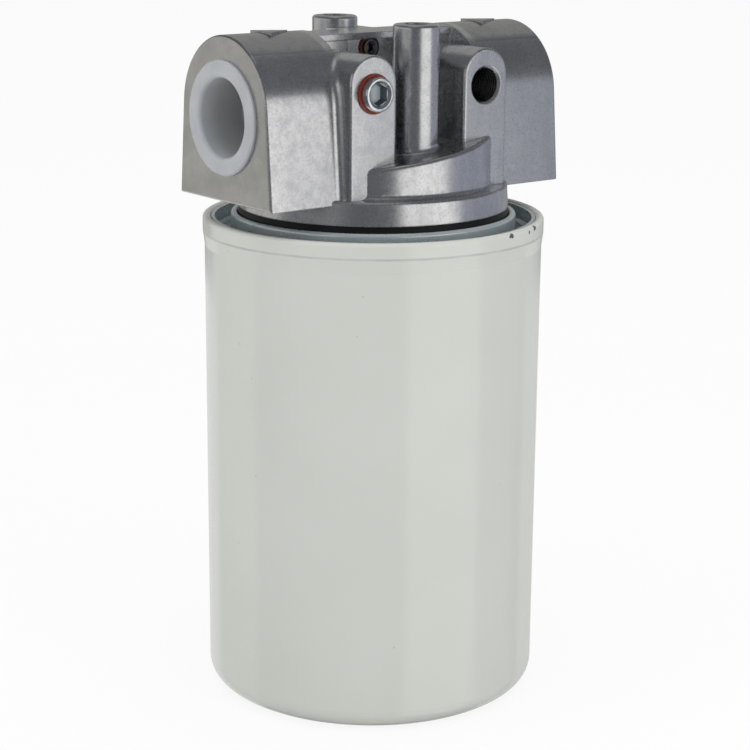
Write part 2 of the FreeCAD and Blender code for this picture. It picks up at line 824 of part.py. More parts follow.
def tapped_holes(body):
    """Gauge holes in the front ends of the ridges, and the small hole in the divider."""
    gauge = circles(body, "gauge_circles", "XZ_Plane", [
        ("-pad_x", "gauge_z", "gauge_dia"), ("pad_x", "gauge_z", "gauge_dia"),
    ], "pad_reach")
    extrude(body, "Pocket", "gauge_holes", gauge, "gauge_depth")
    radius, reach = number("gauge_dia / 2"), number("pad_reach")

    def at_mouth(edge):
        curve = edge.Curve
        return (curve.TypeId == "Part::GeomCircle" and abs(curve.Radius - radius) < NEAR
                and abs(curve.Center.y + reach) < NEAR)

    soften(body, "Chamfer", "gauge_mouths", edges_where(body.Tip.Shape, at_mouth), "gauge_mouth")
    tap = circles(body, "tap_circle", "XZ_Plane", [("tap_x", "tap_z", "tap_dia")], "-pocket_depth")
    extrude(body, "Pocket", "tap_hole", tap, "tap_depth")


def flow_arrows(body):
    """Arrow heads raised on the tops of both barrels, pointing from inlet to outlet."""
    for side, middle in (("inlet", "arrow_shift - arrow_spread"), ("outlet", "arrow_shift + arrow_spread")):
        tail = "%s - arrow_length / 2" % middle
        mark = outline(body, side + "_arrow_profile", "XY_Plane", [
            ("%s + arrow_length / 2" % middle, "0"), (tail, "arrow_half_width"), (tail, "-arrow_half_width"),
        ], "barrel_top - overrun")
        extrude(body, "Pad", side + "_arrow", mark, "overrun + arrow_rise")


# Spigot: steel nipple, screwed into the head and carrying the canister
def spigot():
    body = new_body("spigot")
    bore = "spigot_dia / 2 - spigot_wall"
    tube = turn(body, "tube", [
        (bore, "spigot_foot"), ("spigot_dia / 2", "spigot_foot"),
        ("spigot_dia / 2", "face + duct_floor"), (bore, "face + duct_floor"),
    ])
    soften(body, "Chamfer", "lead_in", rings(tube.Shape, "spigot_dia / 2", "spigot_foot"), "spigot_chamfer")
    return body


def screw_plug(label, dia, length, proud, hex_size, hex_depth, edge):
    """Headless plug with a hexagon socket; its outer end points up."""
    body = new_body(label)
    radius = "%s / 2 - thread_clearance" % dia
    foot = "%s - %s" % (proud, length)
    shank = turn(body, "shank", [("0", foot), (radius, foot), (radius, proud), ("0", proud)])
    soften(body, "Chamfer", "rim", rings(shank.Shape, radius, proud), edge)
    socket = hexagon(body, "socket", "XY_Plane", hex_size, proud)
    extrude(body, "Pocket", "hexagon_socket", socket, hex_depth)
    return body


def flat_seal(label, inner, outer, depth, sunk):
    """Flat red sealing ring round a plug."""
    body = new_body(label)
    turn(body, "ring", [(inner, "-%s" % sunk), (outer, "0"), (outer, depth), (inner, depth)])
    return body


def gauge_plug():
    plug = screw_plug("gauge_plug", "gauge_dia", "plug_length", "plug_proud", "plug_hex", "plug_hex_depth",
                      "plug_edge")
    return place(plug, "-pad_x", "-pad_reach", "gauge_z", FreeCAD.Vector(1, 0, 0), 90)


def gauge_seal():
    seal = flat_seal("gauge_seal", "gauge_dia / 2", "gauge_dia / 2 + gauge_mouth", "seal_sheet", "gauge_mouth")
    return place(seal, "-pad_x", "-pad_reach", "gauge_z", FreeCAD.Vector(1, 0, 0), 90)


def tap_plug():
    plug = screw_plug("tap_plug", "tap_dia", "tap_length", "tap_proud", "tap_hex", "tap_hex", "tap_edge")
    return place(plug, "tap_x", "pocket_depth", "tap_z", FreeCAD.Vector(1, 0, 0), 90)


def tap_seal():
    seal = flat_seal("tap_seal", "tap_dia / 2", "tap_dia / 2 + tap_seal_width", "seal_sheet", "0")
    return place(seal, "tap_x", "pocket_depth", "tap_z", FreeCAD.Vector(1, 0, 0), 90)


# Port covers: push-in plastic cups that keep dirt out until the pipes are fitted
def port_cover(label, side):
    body = new_body(label)
    floor = "cover_wall - cover_depth"
    turn(body, "cup", [
        ("cover_mouth - cover_wall", "cover_lip_sheet"), ("cover_out", "cover_lip_sheet"),
        ("cover_out", "0"), ("cover_mouth", "0"), ("cover_end", "-cover_depth"), ("0", "-cover_depth"),
        ("0", floor), ("cover_end - cover_wall", floor),
    ])
    soften(body, "Chamfer", "lip_edge", rings(body.Tip.Shape, "cover_out", "cover_lip_sheet"), "cover_lip_edge")
    mouth = rings(body.Tip.Shape, "cover_mouth - cover_wall", "cover_lip_sheet")
    soften(body, "Fillet", "mouth_round", mouth, "cover_round")
    return place(body, side + "block_end", "0", "port_axis", FreeCAD.Vector(0, 1, 0), -90 if side == "-" else 90)


# Bypass valve: cartridge in the duct's floor, its poppet opening into the outlet
def valve_body():
    body = new_body("valve_body")
    turn(body, "sleeve", [
        ("valve_seat_dia / 2", "0"), ("valve_out", "0"), ("valve_out", "valve_length"),
        ("valve_in", "valve_length"), ("valve_in", "valve_seat_sheet"), ("valve_seat_dia / 2", "valve_seat_sheet"),
    ])
    half = "valve_window_width / 2"
    foot = "duct_floor + valve_window_lift"
    top = foot + " + valve_window_height"
    window = outline(body, "window_profile", "XZ_Plane", [
        ("-" + half, foot), (half, foot), (half, top), ("-" + half, top),
    ])
    cut = extrude(body, "Pocket", "window", window, "2 * valve_dia", both=True)
    around(body, "windows", cut, "2", "90")
    return place(body, "valve_offset", "0", "face")


def poppet():
    body = new_body("bypass_poppet")
    turn(body, "disc", [
        ("0", "0"), ("poppet_out", "0"), ("poppet_out", "poppet_sheet"),
        ("poppet_stem_dia / 2", "poppet_sheet"), ("poppet_stem_dia / 2", "poppet_top"), ("0", "poppet_top"),
    ])
    return place(body, "valve_offset", "0", "valve_seat_z")


def retainer():
    body = new_body("valve_retainer")
    turn(body, "ring", [
        ("stem_hole", "0"), ("retainer_out", "0"), ("retainer_out", "retainer_sheet"),
        ("stem_hole", "retainer_sheet"),
    ])
    middle = "(retainer_out + stem_hole) / 2"
    hole = circles(body, "flow_hole", "XY_Plane", [(middle, "0", "retainer_hole_dia")])
    cut = extrude(body, "Pocket", "flow", hole, "2 * (retainer_sheet + overrun)", both=True)
    around(body, "flow_holes", cut, "retainer_hole_count")
    return place(body, "valve_offset", "0", "retainer_foot")


def bypass_spring():
    body = coil("bypass_spring", "bypass_spring_dia", "bypass_spring_wire", "0",
                "retainer_foot - valve_seat_z - poppet_sheet - 2 * seat_gap", "bypass_spring_turns")
    return place(body, "valve_offset", "0", "valve_seat_z + poppet_sheet + seat_gap")


def element_spring():
    return coil("element_spring", "spring_mean_dia", "spring_wire", "seat_plate + seat_gap",
                "element_foot - seat_plate - 2 * seat_gap", "spring_turns")


def failed_objects():
    return [item.Label for item in DOC.Objects if "Invalid" in item.State or "Error" in item.State]


def write_parts(parts):
    DOC.recompute()
    failed = failed_objects()
    if failed:
        raise RuntimeError("not built: " + ", ".join(failed))
    for item in parts:
        shape = item.Shape
        if shape.isNull() or not shape.isValid():
            raise RuntimeError("bad shape: " + item.Label)
    os.makedirs("parts", exist_ok=True)
    for item in parts:
        item.Shape.exportStep("parts/%s.step" % item.Label)


DOC.recompute()
write_parts([
    can_shell(), seam_lid(), can_gasket(), base_plate(),
    element_top_cap(), element_grommet(), element_bottom_cap(), core_tube(), pleated_media(),
    spring_seat(), element_spring(),
    head_casting(), spigot(), gauge_plug(), gauge_seal(), tap_plug(), tap_seal(),
    port_cover("inlet_cover", "-"), port_cover("outlet_cover", ""),
    valve_body(), poppet(), bypass_spring(), retainer(),
])
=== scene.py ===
import math

import bpy
from mathutils import Matrix, Vector


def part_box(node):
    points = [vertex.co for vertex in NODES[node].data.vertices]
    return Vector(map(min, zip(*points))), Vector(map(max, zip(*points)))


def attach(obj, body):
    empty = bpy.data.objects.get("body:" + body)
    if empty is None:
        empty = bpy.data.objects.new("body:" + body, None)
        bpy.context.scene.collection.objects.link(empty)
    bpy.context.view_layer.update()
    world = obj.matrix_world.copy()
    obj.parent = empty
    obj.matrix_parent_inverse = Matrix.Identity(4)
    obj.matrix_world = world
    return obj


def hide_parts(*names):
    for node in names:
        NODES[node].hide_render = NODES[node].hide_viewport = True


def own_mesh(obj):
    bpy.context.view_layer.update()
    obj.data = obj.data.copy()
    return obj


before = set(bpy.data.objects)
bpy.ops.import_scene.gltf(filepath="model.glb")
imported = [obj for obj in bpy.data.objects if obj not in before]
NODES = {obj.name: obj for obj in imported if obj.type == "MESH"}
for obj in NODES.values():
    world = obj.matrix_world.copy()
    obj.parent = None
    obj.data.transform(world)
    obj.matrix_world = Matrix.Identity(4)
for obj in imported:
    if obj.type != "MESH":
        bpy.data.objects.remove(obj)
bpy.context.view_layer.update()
MM = 0.001

# Places on the filter that the finishes and the new pieces share
PORT_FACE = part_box("head_casting")[1].x
POST_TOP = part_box("head_casting")[1].z
COVER_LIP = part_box("outlet_cover")[1].x
LID_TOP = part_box("seam_lid")[1].z
TAP = sum(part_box("tap_plug"), Vector()) / 2
TAP_FACE = 5.0 * MM
RIM_FOOT = 135.0 * MM
ARROW_FOOT = 187.3 * MM
ARROW_START = 26.0 * MM
RIDGE = 19.7 * MM
RIDGE_FRONT = -25.3 * MM
GAUGE = 176.8 * MM
GAUGE_BORE = 4.85 * MM
GAUGE_PITCH = 0.907 * MM

# Chips in the paint of the rolled rim: where each one is, and how far it reaches
RIM_CHIPS = [
    ((0.01092, -0.04751, 0.13858), 1.15 * MM),
    ((0.01020, -0.04766, 0.13840), 0.90 * MM),
    ((0.01999, -0.04446, 0.13814), 0.95 * MM),
    ((0.02386, -0.04251, 0.13884), 1.35 * MM),
    ((0.02340, -0.04276, 0.13850), 1.05 * MM),
]


# Finishes: small helpers that put nodes into a material. Patterns are in cells per metre, the
# depth of a relief is in millimetres, and a stretched pattern is drawn out along its small scale.
class Finish:
    """One material, with the nodes it is built from."""

    def __init__(self, name, color, roughness, metallic=0.0):
        self.material = bpy.data.materials.new(name)
        self.material.use_nodes = True
        self.tree = self.material.node_tree
        self.shader = self.tree.nodes["Principled BSDF"]
        self.set(Roughness=roughness, Metallic=metallic)
        self.shader.inputs["Base Color"].default_value = (*color, 1.0)
        self.place = self.node("ShaderNodeTexCoord").outputs["Object"]

    def set(self, **values):
        for name, value in values.items():
            self.shader.inputs[name.replace("_", " ")].default_value = value

    def node(self, kind, **settings):
        made = self.tree.nodes.new(kind)
        for name, value in settings.items():
            setattr(made, name, value)
        return made

    def join(self, source, target):
        self.tree.links.new(source, target)

    # Patterns
    def stretched(self, scale):
        """The place, scaled along each axis, for patterns that run one way."""
        mapping = self.node("ShaderNodeMapping")
        mapping.inputs["Scale"].default_value = scale
        self.join(self.place, mapping.inputs["Vector"])
        return mapping.outputs["Vector"]

    def noise(self, per_metre, detail=3.0, rough=0.55, place=None):
        made = self.node("ShaderNodeTexNoise")
        made.inputs["Scale"].default_value = per_metre
        made.inputs["Detail"].default_value = detail
        made.inputs["Roughness"].default_value = rough
        self.join(place or self.place, made.inputs["Vector"])
        return made.outputs["Fac"]

    def spots(self, per_metre, size, patches, low, high):
        """Small round marks, only where a wide pattern is high."""
        cells = self.node("ShaderNodeTexVoronoi")
        cells.inputs["Scale"].default_value = per_metre
        self.join(self.place, cells.inputs["Vector"])
        marks = self.ramp(cells.outputs["Distance"], size, size + 0.03, 1.0, 0.0)
        return self.times(marks, self.ramp(patches, low, high))

    # Arithmetic
    def math(self, operation, first, second=None):
        made = self.node("ShaderNodeMath", operation=operation)
        for socket, value in zip(made.inputs, (first, second)):
            if value is None:
                continue
            if isinstance(value, (int, float)):
                socket.default_value = value
            else:
                self.join(value, socket)
        return made.outputs["Value"]

    def times(self, first, second):
        return self.math("MULTIPLY", first, second)

    def strongest(self, masks):
        found = masks[0]
        for mask in masks[1:]:
            found = self.math("MAXIMUM", found, mask)
        return found

    def axis(self, name, place=None):
        made = self.node("ShaderNodeSeparateXYZ")
        self.join(place or self.place, made.inputs["Vector"])
        return made.outputs[name]

    def ramp(self, value, low, high, to_low=0.0, to_high=1.0, smooth=False):
        made = self.node("ShaderNodeMapRange", clamp=True)
        if smooth:
            made.interpolation_type = "SMOOTHSTEP"
        made.inputs["From Min"].default_value = low
        made.inputs["From Max"].default_value = high
        made.inputs["To Min"].default_value = to_low
        made.inputs["To Max"].default_value = to_high
        self.join(value, made.inputs["Value"])
        return made.outputs["Result"]

    def window(self, value, low, high, soft):
        """One between two values and nothing outside them, with soft ends."""
        rise = self.ramp(value, low - soft, low + soft)
        fall = self.ramp(value, high - soft, high + soft, 1.0, 0.0)
        return self.times(rise, fall)

    # Tones
    def mixed(self, factor, first, second):
        made = self.node("ShaderNodeMix", data_type="RGBA")
        for name, value in (("Factor", factor), ("A", first), ("B", second)):
            socket = [s for s in made.inputs if s.name == name and s.enabled][0]
            if isinstance(value, tuple):
                socket.default_value = (*value, 1.0)
            elif isinstance(value, (int, float)):
                socket.default_value = value
            else:
                self.join(value, socket)
        return [s for s in made.outputs if s.enabled][0]

    def patchy(self, pattern, first, second, low=0.3, high=0.7):
        """Two tones that pass into each other along a pattern."""
        return self.mixed(self.ramp(pattern, low, high), first, second)

    # Ends of the material
    def color(self, value):
        self.join(value, self.shader.inputs["Base Color"])

    def roughness(self, value):
        self.join(value, self.shader.inputs["Roughness"])

    def uneven(self, pattern, smoothest, roughest, low=0.3, high=0.7):
        """Roughness that changes along a pattern."""
        self.roughness(self.ramp(pattern, low, high, smoothest, roughest))

    def relief(self, height, depth_mm, under=None):
        """Raised and sunk skin, over another relief if one is given."""
        made = self.node("ShaderNodeBump")
        made.inputs["Distance"].default_value = depth_mm * MM
        self.join(height, made.inputs["Height"])
        if under is not None:
            self.join(under, made.inputs["Normal"])
        self.join(made.outputs["Normal"], self.shader.inputs["Normal"])
        return made.outputs["Normal"]

    def surface(self, value):
        self.join(value, self.tree.nodes["Material Output"].inputs["Surface"])


def can_paint():
    """Canister: semi-gloss pale grey paint with specks, darker along the rim's fold, and chips.
    """
    bare, fold_tone, speck_tone = (0.085, 0.090, 0.092), (0.25, 0.25, 0.24), (0.20, 0.20, 0.19)
    paint = Finish("can_paint_gloss", (0.590, 0.605, 0.565), 0.18)
    paint.set(Coat_Weight=0.30, Coat_Roughness=0.05, Specular_IOR_Level=0.55)
    tone = paint.patchy(paint.noise(22.0, 2.0), (0.580, 0.597, 0.553), (0.606, 0.620, 0.580))
    specks = paint.spots(260.0, 0.05, paint.noise(95.0, 1.0), 0.60, 0.64)
    tone = paint.mixed(paint.times(specks, 0.45), tone, speck_tone)

    ragged, feather = paint.times(paint.noise(900.0), 0.9 * MM), 0.1 * MM
    chips = []
    for spot, reach in RIM_CHIPS:
        gap = paint.node("ShaderNodeVectorMath", operation="DISTANCE")
        paint.join(paint.place, gap.inputs[0])
        gap.inputs[1].default_value = spot
        away = paint.math("ADD", gap.outputs["Value"], ragged)
        chips.append(paint.ramp(away, reach, reach + feather, 1.0, 0.0))
    tone = paint.mixed(paint.strongest(chips), tone, bare)

    half_fold = 0.25 * MM
    fold = paint.window(paint.axis("Z"), RIM_FOOT - half_fold, RIM_FOOT + half_fold, 0.12 * MM)
    # Along the fold under the rim the paint is darkened, patchily.
    fold_darkening = paint.times(fold, paint.ramp(paint.noise(120.0), 0.35, 0.65, 0.15, 0.45))
    paint.color(paint.mixed(fold_darkening, tone, fold_tone))

    under = paint.relief(paint.noise(240.0, 2.0), 0.010)
    under = paint.relief(paint.noise(1300.0, 2.0), 0.0012, under)
    paint.relief(paint.times(fold, -1.0), 0.10, under)
    paint.uneven(paint.noise(60.0), 0.15, 0.22)
    return paint.material


def zinc_sheet():
    """Seam lid: galvanised pressed sheet, dulled to a blue-grey, with painted shade low in its
    channel.
    """
    dark, channel, shoulder = (0.16, 0.205, 0.215), LID_TOP - 5.8 * MM, LID_TOP - 3.2 * MM
    sheet = Finish("galvanised_sheet", (0.42, 0.47, 0.49), 0.30, 0.55)
    sheet.set(Specular_IOR_Level=0.6)
    tone = sheet.patchy(sheet.noise(55.0), (0.50, 0.565, 0.585), (0.58, 0.64, 0.66), 0.32, 0.68)
    # Painted shade: the sheet's colour darkens from the shoulder down into the channel, where
    # shade falls.
    low = sheet.ramp(sheet.axis("Z"), channel, shoulder, 0.75, 0.0)
    sheet.color(sheet.mixed(low, tone, dark))
    sheet.uneven(sheet.noise(130.0, 2.0), 0.24, 0.32)
    under = sheet.relief(sheet.noise(70.0, 1.0), 0.010)
    sheet.relief(sheet.noise(1500.0, 2.0), 0.001, under)
    return sheet.material


def turned_steel(name, light, dark, roughness):
    """Machined steel: fine rings left by the tool, with faint stains."""
    change = 0.08
    steel = Finish(name, light, roughness, 1.0)
    steel.color(steel.patchy(steel.noise(85.0, 4.0), light, dark, 0.35, 0.7))
    feed = steel.noise(45.0, 2.0, place=steel.stretched((1.0, 1.0, 55.0)))
    steel.uneven(feed, roughness - change, roughness + change)
    under = steel.relief(feed, 0.02)
    steel.relief(steel.noise(1800.0, 2.0), 0.004, under)
    return steel.material


def black_rubber():
    """Gasket and grommet: smooth moulded rubber with a little dust."""
    rubber = Finish("moulded_rubber", (0.010, 0.010, 0.010), 0.50)
    rubber.set(Specular_IOR_Level=0.22)
    dust = rubber.ramp(rubber.noise(130.0, 5.0), 0.52, 0.76)
    clean, dusty = (0.007, 0.007, 0.007), (0.035, 0.035, 0.033)
    rubber.color(rubber.mixed(rubber.times(dust, 0.5), clean, dusty))
    rubber.uneven(dust, 0.42, 0.60, 0.0, 1.0)
    rubber.relief(rubber.noise(900.0), 0.012)
    return rubber.material


def filter_paper():
    """Filter element: resin-treated paper with fibres."""
    paper = Finish("resin_paper", (0.72, 0.56, 0.30), 0.75)
    fibre = paper.noise(500.0, 5.0, place=paper.stretched((1.0, 1.0, 0.25)))
    paper.color(paper.patchy(fibre, (0.62, 0.46, 0.22), (0.78, 0.64, 0.38)))
    paper.relief(fibre, 0.06)
    return paper.material


def cast_aluminium():
    """Head: tumbled die casting, satin skin, milled port faces and post tops, cut threads, with
    painted shade on the arrow tops and in the gauge bore.
    """
    cast = Finish("die_cast_aluminium", (0.72, 0.72, 0.73), 0.26, 1.0)
    across, depth, height = cast.math("ABSOLUTE", cast.axis("X")), cast.axis("Y"), cast.axis("Z")
    milled = cast.strongest([
        cast.ramp(across, PORT_FACE - 0.06 * MM, PORT_FACE - 0.02 * MM),
        cast.ramp(height, POST_TOP - 0.05 * MM, POST_TOP - 0.02 * MM)])
    shaded_arrow_top = cast.times(cast.ramp(across, ARROW_START, ARROW_START + 1.0 * MM),
                       cast.ramp(height, ARROW_FOOT, ARROW_FOOT + 0.2 * MM))
    aside, above = cast.math("SUBTRACT", across, RIDGE), cast.math("SUBTRACT", height, GAUGE)
    away = cast.math("SQRT", cast.math("ADD", cast.times(aside, aside), cast.times(above, above)))
    bore = cast.times(cast.ramp(away, GAUGE_BORE, GAUGE_BORE + 0.15 * MM, 1.0, 0.0),
                      cast.window(depth, RIDGE_FRONT + 1.1 * MM, 0.0, 0.3 * MM))

    mottle, grain = cast.noise(360.0, 3.0, 0.6), cast.noise(1500.0, 2.0, 0.5)
    rubbed = cast.noise(260.0, 3.0, 0.6, place=cast.stretched((1.0, 1.0, 0.12)))
    tone = cast.patchy(cast.noise(75.0), (0.685, 0.69, 0.705), (0.785, 0.785, 0.79))
    for pattern, low, high, most, darker in (
            (mottle, 0.46, 0.72, 0.48, (0.56, 0.565, 0.58)),
            (grain, 0.48, 0.72, 0.60, (0.52, 0.525, 0.54)),
            (rubbed, 0.45, 0.75, 0.45, (0.54, 0.545, 0.56))):
        tone = cast.mixed(cast.ramp(pattern, low, high, 0.0, most), tone, darker)
    pits = cast.spots(420.0, 0.03, cast.noise(130.0, 2.0), 0.55, 0.60)
    tone = cast.mixed(cast.times(pits, 0.6), tone, (0.22, 0.225, 0.235))
    # Painted shade: the arrow tops on the barrels' crests, above the arrow foot, are darkened.
    tone = cast.mixed(cast.times(shaded_arrow_top, 0.55), tone, (0.36, 0.36, 0.37))

    blotch = cast.noise(130.0, 4.0, 0.6)
    face = cast.patchy(blotch, (0.530, 0.527, 0.510), (0.650, 0.642, 0.622), 0.35, 0.65)
    face = cast.mixed(cast.ramp(grain, 0.4, 0.7, 0.0, 0.3), face, (0.52, 0.515, 0.50))
    tone = cast.mixed(milled, tone, face)
    # Painted shade: the gauge bore's wall is coloured dark, as the shade inside the hole.
    cast.color(cast.mixed(bore, tone, (0.16, 0.16, 0.155)))
    satin = cast.ramp(mottle, 0.3, 0.7, 0.20, 0.31)
    cast.roughness(cast.math("ADD", satin, cast.times(milled, 0.05)))

    edge = cast.node("ShaderNodeBevel", samples=4)
    edge.inputs["Radius"].default_value = 0.45 * MM
    rough_skin = cast.math("SUBTRACT", 1.0, milled)
    drag = cast.noise(110.0, 2.0, 0.5, place=cast.stretched((1.0, 1.0, 0.5)))
    thread = cast.math("SINE", cast.times(depth, 2.0 * math.pi / GAUGE_PITCH))
    under = cast.relief(cast.times(drag, rough_skin), 0.012, edge.outputs["Normal"])
    under = cast.relief(cast.times(cast.noise(1300.0, 2.0, 0.5), rough_skin), 0.003, under)
    under = cast.relief(cast.times(thread, bore), 0.14, under)
    cast.relief(cast.times(pits, -1.0), 0.03, under)
    return cast.material


def zinc_screw():
    """Gauge plug: bright zinc plating."""
    screw = Finish("bright_zinc_plating", (0.78, 0.80, 0.82), 0.16, 1.0)
    wear = screw.ramp(screw.noise(420.0, 4.0), 0.35, 0.7)
    screw.color(screw.mixed(wear, (0.84, 0.86, 0.88), (0.64, 0.66, 0.69)))
    screw.uneven(wear, 0.12, 0.26, 0.0, 1.0)
    screw.relief(screw.noise(1400.0), 0.005)
    return screw.material


def red_seal():
    """Sealing rings: brown-red, slightly glossy, with painted shade on one side behind the
    pocket.
    """
    seal_shade_tone = (0.020, 0.016, 0.015)
    seal = Finish("red_sealing_ring", (0.19, 0.026, 0.012), 0.42)
    tone = seal.patchy(seal.noise(500.0), (0.15, 0.020, 0.010), (0.22, 0.032, 0.014))
    # Painted shade: the tap seal's side behind the pocket is darkened, where the pocket's shade
    # falls.
    painted_shade_side = seal.times(seal.ramp(seal.axis("X"), TAP.x - 0.6 * MM, TAP.x + 0.8 * MM),
                      seal.ramp(seal.axis("Y"), -2.0 * MM, 0.0))
    seal.color(seal.mixed(painted_shade_side, tone, seal_shade_tone))
    seal.relief(seal.noise(1500.0, 2.0), 0.01)
    return seal.material


def valve_brass():
    """Bypass valve: turned brass."""
    brass = Finish("turned_brass", (0.72, 0.52, 0.22), 0.25, 1.0)
    feed = brass.noise(60.0, 2.0, place=brass.stretched((1.0, 1.0, 60.0)))
    brass.color(brass.patchy(feed, (0.66, 0.46, 0.18), (0.80, 0.60, 0.28)))
    brass.relief(feed, 0.012)
    return brass.material


def cover_plastic():
    """Port covers: milky, slightly grey polyethylene, with painted shade down in the cup."""
    painted_cup_shade, cup, lip = (0.325, 0.337, 0.340), COVER_LIP - 7.0 * MM, COVER_LIP - 1.6 * MM
    plastic = Finish("milky_polyethylene", (0.46, 0.475, 0.495), 0.36)
    plastic.set(Subsurface_Weight=0.30, Subsurface_Scale=0.002, IOR=1.5,
                Subsurface_Radius=(1.0, 1.0, 1.0))
    tone = plastic.patchy(plastic.noise(120.0), (0.40, 0.417, 0.44), (0.465, 0.48, 0.50))
    across = plastic.math("ABSOLUTE", plastic.axis("X"))
    # Painted shade: the colour darkens from the lip down into the cup.
    deep = plastic.ramp(across, cup, lip, 1.0, 0.0, smooth=True)
    plastic.color(plastic.mixed(plastic.times(deep, 0.9), tone, painted_cup_shade))
    plastic.uneven(plastic.noise(380.0), 0.28, 0.44)
    plastic.relief(plastic.noise(260.0), 0.025)
    return plastic.material


def wear(names, material):
    """Puts a finish on CAD nodes that keep their shape."""
    for name in names:
        for slot in NODES[name].material_slots:
            slot.material = material


# Modelling: each new piece starts from a primitive and ends with its place in its mesh
ROUND = 96
SPIGOT_PITCH = 2.117
SHARP_EDGE = math.radians(40.0)
SMOOTH_EDGE = math.radians(30.0)


def alone(thing):
    bpy.ops.object.select_all(action="DESELECT")
    thing.select_set(True)
    bpy.context.view_layer.objects.active = thing


def changed(thing, kind, **settings):
    """Gives a thing one modifier and applies it."""
    alone(thing)
    bpy.ops.object.modifier_add(type=kind)
    modifier = thing.modifiers[-1]
    for name, value in settings.items():
        setattr(modifier, name, value)
    bpy.ops.object.modifier_apply(modifier=modifier.name)


def cylinder(sides, radius, low, high):
    """Upright cylinder between two heights, all in millimetres."""
    bpy.ops.mesh.primitive_cylinder_add(
        vertices=sides, radius=radius * MM, depth=(high - low) * MM,
        location=(0.0, 0.0, (low + high) / 2 * MM))
    bpy.ops.object.transform_apply(location=True, rotation=True, scale=True)
    return bpy.context.object


def combine(thing, tool, operation):
    """Cuts the tool from the thing, or keeps only what they share."""
    changed(thing, "BOOLEAN", operation=operation, solver="EXACT", object=tool)
    bpy.data.objects.remove(tool)


def rounded(thing, width, segments):
    """Rounds the sharp edges by a width in millimetres."""
    changed(thing, "BEVEL", width=width * MM, segments=segments,
            limit_method="ANGLE", angle_limit=SHARP_EDGE)


def seated(thing, name, material, node, body):
    """Names a finished piece and lets it stand for its CAD node."""
    alone(thing)
    bpy.ops.object.transform_apply(location=True, rotation=True, scale=True)
    bpy.ops.object.shade_smooth_by_angle(angle=SMOOTH_EDGE)
    thing.name = name
    thing.data.name = name
    thing.data.materials.clear()
    thing.data.materials.append(material)
    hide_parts(node)
    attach(thing, body)


def socket_plug(name, node, place, skin, inside, radius, length, proud, flats, depth):
    """Headless plug: rounded rim, countersink and hexagon socket, all in millimetres."""
    rim, burr, lift = 0.09 * radius, 0.07, 0.01
    mouth, corner = 0.80 * radius, flats / math.sqrt(3.0)
    throat, sink = 0.96 * corner, 0.8 * (mouth - corner) + 0.10 * radius
    plug = cylinder(ROUND, radius, proud - length, proud)
    rounded(plug, rim, 3)
    bpy.ops.mesh.primitive_cone_add(
        vertices=ROUND, radius1=throat * MM, radius2=mouth * MM, depth=sink * MM,
        location=(0.0, 0.0, (proud + lift - sink / 2) * MM))
    combine(plug, bpy.context.object, "DIFFERENCE")
    combine(plug, cylinder(6, corner, proud - depth, proud), "DIFFERENCE")
    rounded(plug, burr, 2)
    plug.rotation_euler = (math.pi / 2, 0.0, 0.0)
    plug.location = place
    seated(plug, name, skin, node, "head")

    # Faces in the hex socket take the inside material, which paints the socket's shade.
    plug.data.materials.append(inside)
    socket_wall, below_rim = 1.01 * corner * MM, (proud - 0.3) * MM
    for face in plug.data.polygons:
        off = face.center - Vector(place)
        in_socket = math.hypot(off.x, off.z) < socket_wall and -off.y < below_rim
        face.material_index = 1 if in_socket else 0


def thread_winding(outer, foot, top):
    """Solid screw: one zigzag profile wound up by a screw, in millimetres. It ends past the foot
    and top, and its crests stand past the outer radius."""
    groove, spare = 1.05, 0.30
    turns_before, turns_more, weld = 2.0, 3, 0.002 * MM
    run = (groove + spare) * MM
    flank, flat = 0.44 * SPIGOT_PITCH * MM, 0.06 * SPIGOT_PITCH * MM
    bpy.ops.mesh.primitive_plane_add(size=1.0 * MM, location=(0.0, 0.0, 0.0))
    winding = bpy.context.object
    bpy.ops.object.mode_set(mode="EDIT")
    bpy.ops.mesh.select_all(action="SELECT")
    bpy.ops.mesh.merge(type="CENTER")
    start = ((outer - groove) * MM, 0.0, (foot - turns_before * SPIGOT_PITCH) * MM)
    bpy.ops.transform.translate(value=start)
    for _ in range(math.ceil((top - foot) / SPIGOT_PITCH) + turns_more):
        for across, up in ((run, flank), (0.0, flat), (-run, flank), (0.0, flat)):
            bpy.ops.mesh.extrude_region_move(
                TRANSFORM_OT_translate={"value": (across, 0.0, up)})
    bpy.ops.object.mode_set(mode="OBJECT")
    changed(winding, "SCREW", axis="Z", angle=2.0 * math.pi, screw_offset=SPIGOT_PITCH * MM,
            steps=72, render_steps=72)
    bpy.ops.object.mode_set(mode="EDIT")
    bpy.ops.mesh.select_all(action="SELECT")
    bpy.ops.mesh.remove_doubles(threshold=weld)
    bpy.ops.mesh.select_all(action="DESELECT")
    bpy.ops.mesh.select_non_manifold()
    bpy.ops.mesh.edge_face_add()
    bpy.ops.mesh.select_all(action="SELECT")
    bpy.ops.mesh.quads_convert_to_tris()
    bpy.ops.mesh.normals_make_consistent(inside=False)
    bpy.ops.object.mode_set(mode="OBJECT")
    return winding


def threaded_spigot(material):
    """Nipple with a one-inch thread: a chamfered tube, trimmed to the winding."""
    chamfer, wall, spare = 0.85, 3.2, 1.0
    low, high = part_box("spigot")
    foot, top, outer = low.z / MM, high.z / MM, high.x / MM
    winding = thread_winding(outer, foot, top)
    nipple = cylinder(ROUND, outer, foot, top)
    rounded(nipple, chamfer, 1)
    bore = cylinder(ROUND, outer - wall, foot - spare, top + spare)
    combine(nipple, bore, "DIFFERENCE")
    combine(nipple, winding, "INTERSECT")
    seated(nipple, "spigot_threaded", material, "spigot", "head")


